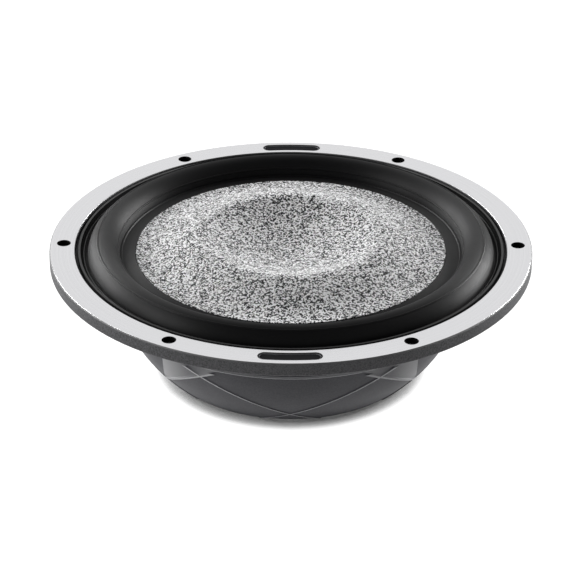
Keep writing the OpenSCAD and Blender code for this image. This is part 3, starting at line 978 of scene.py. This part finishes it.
class SUBWOOFER_OT_cone(bpy.types.Operator):
    """Build the cone: a dish inside a round ridge, and its lip under the surround"""

    bl_idname = "subwoofer.cone"
    bl_label = "Cone"

    def execute(self, context):
        s = context.scene.subwoofer_sizes
        shades = context.scene.subwoofer_colours
        top = FACE_Z + s.ridge_rise
        dish_z = top - s.dish
        low, high = s.ridge_radius - s.ridge_round, s.ridge_radius + s.ridge_round

        def flank(r):
            """Height of the dish, and of the slope outside it, as they would cross."""
            if r < s.ridge_radius:
                return dish_z + s.dish * (r / s.ridge_radius) ** 2
            turn = math.pi * (r - s.ridge_radius) / (s.cone_edge - s.ridge_radius)
            ease = (1 - math.cos(turn)) / 2
            return top - (top - s.cone_edge_height) * (ease + math.sin(turn / 2)) / 2

        def front(r):
            """Height of the cone's face: the flanks with a rounded ridge between them."""
            if not low < r < high:
                return flank(r)
            t = (r - low) / (high - low)
            rounded = (1 - t) ** 2 * flank(low) + 2 * t * (1 - t) * top + t**2 * flank(high)
            return min(rounded, CONE_TOP_Z)

        steps = 120
        radii = [s.cone_edge * i / steps for i in range(steps + 1)]
        rebate = front(s.cone_edge) - 1.5 * MM
        drop = FLANGE_SLOPE * (s.cone_lip - s.cone_edge)
        lip = 1.6 * MM
        # the back needs only every fourth radius
        outline = (
            [(r, front(r)) for r in radii]
            + [
                (s.cone_edge, rebate),
                (s.cone_lip, rebate - drop),
                (s.cone_lip, rebate - drop - lip),
                (s.cone_edge, rebate - lip),
            ]
            + [(r, front(r) - s.cone_wall) for r in radii[-4::-4]]
        )
        piece = turned(
            "cone_skin",
            outline,
            fibre_mat("Glass fibre mat", shades.fibre_light, shades.fibre_dark),
            s.segments,
        )
        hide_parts("cone")
        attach(piece, "cone_assembly")
        return {"FINISHED"}


class SUBWOOFER_OT_spider(bpy.types.Operator):
    """Build the waved cloth spider in sectors"""

    bl_idname = "subwoofer.spider"
    bl_label = "Spider"

    def execute(self, context):
        s = context.scene.subwoofer_sizes
        cloth = woven_cloth("Resin-dipped cotton", linear("#3b3a38"))
        rim = SPIDER_RADIUS - 5.5 * MM
        neck = 31.75 * MM
        sleeve = 27.95 * MM
        half_waves, per_half_wave = 9, 8
        steps = half_waves * per_half_wave
        radii = [neck + (rim - neck) * i / steps for i in range(steps + 1)]

        seat = s.spider_height
        sleeve_top = seat + 4 * MM

        def low(r):
            """Height of the cloth's underside."""
            turn = math.pi * half_waves * (rim - r) / (rim - neck)
            return seat + s.wave * math.sin(turn)

        under = [(r, low(r)) for r in radii]
        over = [(r, z + s.cloth) for r, z in reversed(under)]
        outline = (
            [(sleeve, seat)]
            + under
            + [(SPIDER_RADIUS, seat), (SPIDER_RADIUS, seat + s.cloth)]
            + over
            + [
                (sleeve + s.cloth, seat + s.cloth),
                (sleeve + s.cloth, sleeve_top),
                (sleeve, sleeve_top),
            ]
        )
        sectors = 16
        width = FULL_TURN / sectors
        for i in range(sectors):
            middle = i * width
            bm = bmesh.new()
            ring, _ = profile_loop(bm, outline, middle - width / 2)
            half_section = bm.faces.new(ring)
            bmesh.ops.spin(
                bm,
                geom=[half_section],
                cent=(0, 0, 0),
                axis=(0, 0, 1),
                dvec=(0, 0, 0),
                angle=width,
                steps=10,
                use_merge=False,
                use_duplicate=False,
            )
            piece = finish_mesh(bm, f"spider_sector_{i + 1:02d}", cloth, 40)
            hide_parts("spider")
            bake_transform(piece)
        return {"FINISHED"}


class SUBWOOFER_OT_basket(bpy.types.Operator):
    """Finish the cast basket and the gasket in its flange"""

    bl_idname = "subwoofer.basket"
    bl_label = "Basket"

    def execute(self, context):
        s = context.scene.subwoofer_sizes
        casting = sprayed_bowl(
            "Powder-coated casting",
            context.scene.subwoofer_colours.casting,
            s.line_offset,
            s.line_radius,
        )
        dress("basket", casting)
        foam = plain_finish("Closed-cell foam", linear("#161617"), 0.85, relief=0.1)
        dress("flange_gasket", foam)
        return {"FINISHED"}


class SUBWOOFER_OT_motor(bpy.types.Operator):
    """Finish the magnet, the plates and the voice coil"""

    bl_idname = "subwoofer.motor"
    bl_label = "Motor"

    def execute(self, context):
        shades = context.scene.subwoofer_colours
        plating = turned_steel("Black zinc on steel", shades.plating)
        for node in ("top_plate", "yoke"):
            dress(node, plating)
        dress("magnet", plain_finish("Ground ferrite", shades.ferrite, 0.5, grain=1.2, relief=0.03))
        dress("shorting_ring", turned_steel("Turned aluminium", linear("#d9d9da"), 0.3))
        dress("coil_former", plain_finish("Polyimide film", linear("#b8752b"), 0.3))
        dress("voice_coil", plain_finish("Enamelled copper", linear("#b5633c"), 0.3, 0.6))
        dress("coil_coupler", plain_finish("Moulded nylon", linear("#222224"), 0.5))
        dress("vent_screen", powder_coat("Black etched mesh", linear("#1a1a1b"), grain=0.4))
        dress("motor_screws", plain_finish("Zinc-plated steel", linear("#bfc0c2"), 0.3, 1.0))
        return {"FINISHED"}


class SUBWOOFER_OT_terminals(bpy.types.Operator):
    """Finish the terminals, and build their springs and the braided leads"""

    bl_idname = "subwoofer.terminals"
    bl_label = "Terminals"

    def execute(self, context):
        zinc = plain_finish("Zinc-plated steel small", linear("#bfc0c2"), 0.3, 1.0)
        dress("terminal_block", plain_finish("Moulded ABS", linear("#1d1d1f"), 0.5))
        dress("push_cap_positive", plain_finish("Moulded red ABS", linear("#a3161a"), 0.4))
        dress("push_cap_negative", plain_finish("Moulded black ABS", linear("#17171a"), 0.4))
        dress("terminal_posts", plain_finish("Gold-plated brass", linear("#d9b45c"), 0.25, 1.0))
        dress("terminal_screws", zinc)
        steel = plain_finish("Bright spring wire", linear("#c9cacc"), 0.25, 1.0)
        copper = plain_finish("Tinned copper strand", linear("#b9a684"), 0.4, 1.0)
        for side, sign in (("positive", -1), ("negative", 1)):
            self.spring(side, steel)
            self.lead(side, sign, copper)
        return {"FINISHED"}

    def spring(self, side, steel):
        """A coil spring of four turns."""
        node = f"terminal_spring_{side}"
        low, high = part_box(node)
        wire = 0.25 * MM
        middle = (low + high) / 2
        coil = (high.x - low.x) / 2 - wire
        first, last = low.y + wire, high.y - wire
        turns, per_turn = 4, 24
        count = turns * per_turn
        path = [
            (
                middle.x + coil * math.cos(FULL_TURN * i / per_turn),
                first + (last - first) * i / count,
                middle.z + coil * math.sin(FULL_TURN * i / per_turn),
            )
            for i in range(count + 1)
        ]
        piece = wire_mesh(f"spring_{side}", [path], wire, steel)
        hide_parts(node)
        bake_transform(piece)

    def lead(self, side, sign, copper):
        """Three strands twisted round the path from a terminal to the cone's neck."""
        node = f"lead_{side}"
        low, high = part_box(node)
        begin = Vector((sign * 9.5 * MM, high.y, -12 * MM))
        finish = Vector((sign * 4.75 * MM, low.y, -9.5 * MM))
        lead_radius, strand = 0.8 * MM, 0.36 * MM
        sag = 2.24 * MM
        count, twists = 60, 10
        paths = []
        for k in range(3):
            path = []
            for i in range(count + 1):
                t = i / count
                ease = (1 - math.cos(math.pi * t)) / 2
                turn = FULL_TURN * (k / 3 + twists * t)
                place = begin.lerp(finish, t)
                place.z = begin.z + (finish.z - begin.z) * ease
                place.z -= sag * math.sin(math.pi * t) * (1 - t)
                place += Vector((math.cos(turn), 0, math.sin(turn))) * (lead_radius - strand)
                path.append(place)
            paths.append(path)
        piece = wire_mesh(f"braided_{node}", paths, strand, copper)
        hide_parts(node)
        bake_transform(piece)


class SUBWOOFER_OT_stage(bpy.types.Operator):
    """Set up the floor, the lamps, the surroundings and the camera"""

    bl_idname = "subwoofer.stage"
    bl_label = "Stage"

    def execute(self, context):
        scene = context.scene
        scene.view_settings.view_transform = "Standard"
        self.floor()
        self.surroundings(scene)
        self.lamps(scene)
        self.camera(scene)
        return {"FINISHED"}

    def floor(self):
        bm = bmesh.new()
        bmesh.ops.create_grid(bm, x_segments=1, y_segments=1, size=6)
        bmesh.ops.translate(bm, verts=bm.verts[:], vec=(0, 0, FLOOR_Z))
        material, tree, _ = start_material("White studio floor")
        light_path = add_node(tree, "ShaderNodeLightPath").outputs
        seen = light_path["Is Camera Ray"]
        for kind in ("Is Glossy Ray", "Is Transmission Ray"):
            seen = add_node(
                tree,
                "ShaderNodeMath",
                {0: seen, 1: light_path[kind]},
                operation="MAXIMUM",
            ).outputs[0]
        # the close shadow under the bowl
        reach = 10 * MM
        near = add_node(
            tree, "ShaderNodeAmbientOcclusion", {"Distance": reach}, samples=8
        ).outputs["AO"]
        bright = add_node(
            tree,
            "ShaderNodeMapRange",
            {"Value": near, "From Min": 0.3, "From Max": 0.62, "To Min": 0.02, "To Max": 1.0},
        ).outputs["Result"]
        lift = add_node(
            tree, "ShaderNodeMix", {0: seen, 2: 0.04, 3: bright}, data_type="FLOAT"
        ).outputs[0]
        glow = add_node(
            tree, "ShaderNodeEmission", {"Color": (1, 1, 1, 1), "Strength": lift}
        ).outputs[0]
        paper = add_node(
            tree, "ShaderNodeMapRange", {"Value": seen, "To Min": 0.4, "To Max": 0.3}
        ).outputs["Result"]
        matt = add_node(tree, "ShaderNodeBsdfDiffuse", {"Color": paper}).outputs[0]
        both = add_node(tree, "ShaderNodeAddShader", {0: glow, 1: matt}).outputs[0]
        add_node(tree, "ShaderNodeOutputMaterial", {"Surface": both})
        floor = finish_mesh(bm, "studio_floor", material)

    def surroundings(self, scene):
        world = bpy.data.worlds.new("Studio")
        scene.world = world
        world.use_nodes = True
        tree = world.node_tree
        tree.nodes.clear()
        towards = add_node(tree, "ShaderNodeTexCoord").outputs["Generated"]
        axes = add_node(tree, "ShaderNodeSeparateXYZ", {"Vector": towards}).outputs
        # a low white wall round a dim room, greyer on the object's right
        level = add_node(
            tree, "ShaderNodeCombineXYZ", {"X": axes["X"], "Y": axes["Y"]}
        ).outputs[0]
        low = add_node(
            tree, "ShaderNodeVectorMath", {0: level}, operation="LENGTH"
        ).outputs["Value"]
        low = add_node(
            tree,
            "ShaderNodeMapRange",
            {"Value": low, "From Min": 0.45, "From Max": 0.8, "To Min": 0.16, "To Max": 1.0},
            interpolation_type="SMOOTHSTEP",
        ).outputs["Result"]
        bearing = 0.44
        right = add_node(
            tree,
            "ShaderNodeVectorMath",
            {0: towards, 1: (math.cos(bearing), math.sin(bearing), 0)},
            operation="DOT_PRODUCT",
        ).outputs["Value"]
        beside = add_node(
            tree,
            "ShaderNodeMapRange",
            {"Value": right, "From Min": 0.6, "From Max": 0.85, "To Min": 1.0, "To Max": 0.3},
            interpolation_type="SMOOTHSTEP",
        ).outputs["Result"]
        facing = add_node(
            tree,
            "ShaderNodeMapRange",
            {"Value": axes["Y"], "From Min": -0.3, "From Max": 0.3, "To Min": 0.55, "To Max": 1.0},
            interpolation_type="SMOOTHSTEP",
        ).outputs["Result"]
        wall = low
        for part in (beside, facing):
            wall = add_node(
                tree, "ShaderNodeMath", {0: wall, 1: part}, operation="MULTIPLY"
            ).outputs[0]
        light_path = add_node(tree, "ShaderNodeLightPath").outputs
        seen = add_node(
            tree,
            "ShaderNodeMath",
            {0: light_path["Is Camera Ray"], 1: light_path["Is Transmission Ray"]},
            operation="MAXIMUM",
        ).outputs[0]
        mirrored = add_node(
            tree, "ShaderNodeMath", {0: wall, 1: light_path["Is Glossy Ray"]}, operation="MULTIPLY"
        ).outputs[0]
        white = add_node(
            tree, "ShaderNodeMath", {0: mirrored, 1: seen}, operation="MAXIMUM"
        ).outputs[0]
        strength = add_node(
            tree,
            "ShaderNodeMapRange",
            {"Value": white, "To Min": 0.04, "To Max": 1.0},
        ).outputs["Result"]
        shade = add_node(
            tree,
            "ShaderNodeBackground",
            {"Color": (1, 1, 1, 1), "Strength": strength},
        ).outputs[0]
        add_node(tree, "ShaderNodeOutputWorld", {"Surface": shade})

    def lamps(self, scene):
        softboxes = (
            ("key_softbox", (-2.2, 1.8, 1.05), (2.2, 1.2), 92),
            ("side_softbox", (2.4, 1.6, 0.8), (1.8, 1.2), 122),
            ("fill_softbox", (-2.65, -0.6, 1.2), (1.4, 1.2), 52),
        )
        aim_at = Vector((0, 0, -0.01))
        for name, place, size, power in softboxes:
            lamp = bpy.data.lights.new(name, "AREA")
            lamp.shape = "RECTANGLE"
            lamp.size, lamp.size_y = size
            lamp.energy = power
            holder = bpy.data.objects.new(name, lamp)
            holder.location = place
            aim = aim_at - Vector(place)
            holder.rotation_euler = aim.to_track_quat("-Z", "Y").to_euler()
            holder.visible_camera = False
            scene.collection.objects.link(holder)

    def camera(self, scene):
        lens = bpy.data.cameras.new("camera")
        lens.sensor_width = 36
        lens.lens = 164.58
        lens.clip_start, lens.clip_end = 0.05, 50
        camera = bpy.data.objects.new("camera", lens)
        # fitted to the ring, its holes and the cone's edges
        azimuth, elevation, roll = (math.radians(a) for a in (0.017, 28.294, 0.263))
        back = Vector(
            (
                math.sin(azimuth) * math.cos(elevation),
                -math.cos(azimuth) * math.cos(elevation),
                math.sin(elevation),
            )
        )
        camera.location = (0.00166, -1.30512, 0.6796)
        camera.rotation_mode = "QUATERNION"
        camera.rotation_quaternion = (-back).to_track_quat("-Z", "Y") @ Quaternion((0, 0, 1), roll)
        scene.collection.objects.link(camera)
        scene.camera = camera


OPERATORS = (
    SUBWOOFER_OT_trim,
    SUBWOOFER_OT_surround,
    SUBWOOFER_OT_cone,
    SUBWOOFER_OT_spider,
    SUBWOOFER_OT_basket,
    SUBWOOFER_OT_motor,
    SUBWOOFER_OT_terminals,
    SUBWOOFER_OT_stage,
)


class SUBWOOFER_PT_panel(bpy.types.Panel):
    """Sizes, colours and pieces of the subwoofer"""

    bl_label = "Subwoofer"
    bl_idname = "SUBWOOFER_PT_panel"
    bl_space_type = "VIEW_3D"
    bl_region_type = "UI"
    bl_category = "Subwoofer"

    def draw(self, context):
        for group in (context.scene.subwoofer_sizes, context.scene.subwoofer_colours):
            column = self.layout.column()
            for name in group.__annotations__:
                column.prop(group, name)
        for operator in OPERATORS:
            self.layout.operator(operator.bl_idname)


CLASSES = (SubwooferSizes, SubwooferColours, *OPERATORS, SUBWOOFER_PT_panel)


def register():
    for item in CLASSES:
        bpy.utils.register_class(item)
    bpy.types.Scene.subwoofer_sizes = PointerProperty(type=SubwooferSizes)
    bpy.types.Scene.subwoofer_colours = PointerProperty(type=SubwooferColours)


def unregister():
    del bpy.types.Scene.subwoofer_colours
    del bpy.types.Scene.subwoofer_sizes
    for item in reversed(CLASSES):
        bpy.utils.unregister_class(item)


def main():
    register()
    bpy.ops.subwoofer.trim()
    bpy.ops.subwoofer.surround()
    bpy.ops.subwoofer.cone()
    bpy.ops.subwoofer.spider()
    bpy.ops.subwoofer.basket()
    bpy.ops.subwoofer.motor()
    bpy.ops.subwoofer.terminals()
    bpy.ops.subwoofer.stage()


if __name__ == "__main__":
    main()
